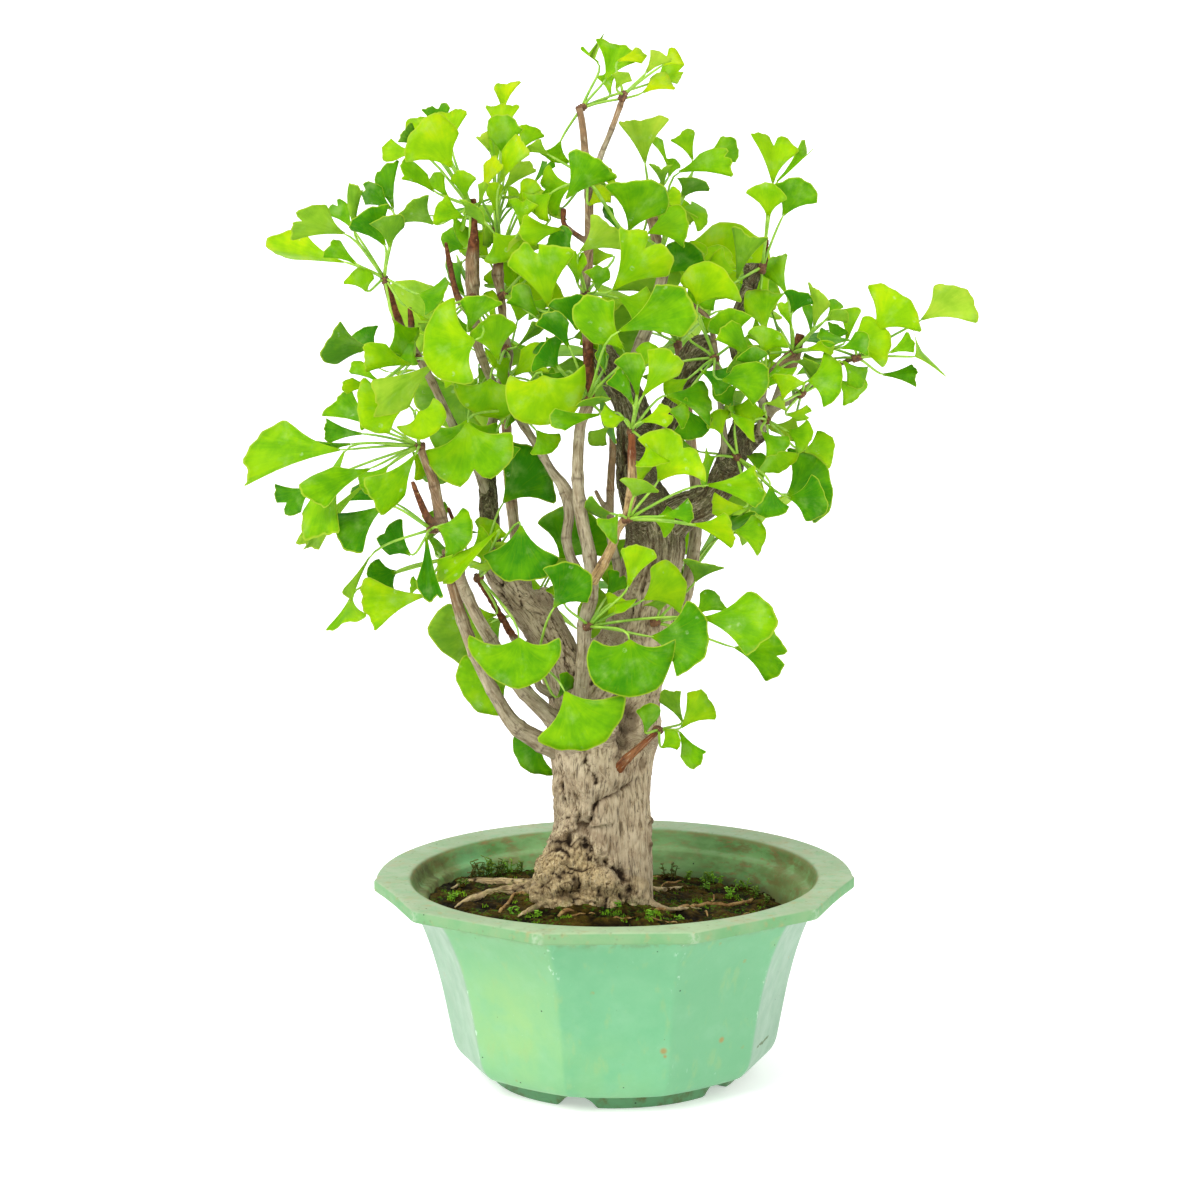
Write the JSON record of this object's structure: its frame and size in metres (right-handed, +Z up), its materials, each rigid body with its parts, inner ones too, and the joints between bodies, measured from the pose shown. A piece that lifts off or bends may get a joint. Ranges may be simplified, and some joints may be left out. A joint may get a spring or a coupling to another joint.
{
  "type": "ginkgo bonsai",
  "caption": "Ginkgo bonsai with a short thick trunk, upright shoots and fan-shaped leaves, growing in a ten-sided flared plastic pot with soil and surface roots.",
  "frame": {"origin": "on the standing surface, under the middle of the pot's foot ring", "axes": "+Z up, +X to the right and +Y to the back as seen from the side with the left limb and the surface roots on the left"},
  "size_m": [0.4885, 0.3263, 0.7156],
  "materials": {
    "pot_shell": "satin, weathered",
    "soil": "rough, damp",
    "bark": "rough",
    "young_bark": "rough",
    "red_bark": "satin",
    "leaf": "satin"
  },
  "bodies": {
    "root": {"back_left_shoot": "young_bark", "back_right_shoot": "young_bark", "back_top_shoot": "young_bark", "cut_branch": "bark", "cut_limb": "bark", "diagonal_shoot": "young_bark", "front_shoot": "young_bark", "leaves_back_left_high": "leaf", "leaves_back_left_low": "leaf", "leaves_back_right_high": "leaf", "leaves_back_right_low": "leaf", "leaves_big_left": "leaf", "leaves_centre_high": "leaf", "leaves_centre_knot": "leaf", "leaves_crown": "leaf", "leaves_crown_right": "leaf", "leaves_cut_branch": "leaf", "leaves_diagonal": "leaf", "leaves_far_left": "leaf", "leaves_far_right": "leaf", "leaves_front_bend": "leaf", "leaves_front_high": "leaf", "leaves_left_base": "leaf", "leaves_left_crown": "leaf", "leaves_left_knob": "leaf", "leaves_left_shoulder": "leaf", "leaves_left_sprout": "leaf", "leaves_left_tip": "leaf", "leaves_limb_high": "leaf", "leaves_low_front": "leaf", "leaves_low_left": "leaf", "leaves_low_left_limb": "leaf", "leaves_red_elbow": "leaf", "leaves_red_tip": "leaf", "leaves_right_edge": "leaf", "leaves_right_fork": "leaf", "leaves_right_high": "leaf", "leaves_right_low": "leaf", "leaves_right_reach": "leaf", "leaves_sprout": "leaf", "leaves_thin_shoot": "leaf", "leaves_top": "leaf", "leaves_top_fork": "leaf", "leaves_trunk_right": "leaf", "leaves_upper_knot": "leaf", "leaves_upper_mid": "leaf", "left_limb": "bark", "left_long_shoot": "young_bark", "left_low_shoot": "young_bark", "left_sprout": "young_bark", "pot": "pot_shell", "red_shoot": "red_bark", "right_limb": "bark", "right_shoots": "young_bark", "right_thin_shoot": "young_bark", "slim_shoot": "young_bark", "soil": "soil", "trunk": "bark", "trunk_sprouts": "red_bark", "upper_left_shoot": "young_bark"}
  },
  "joints": []
}
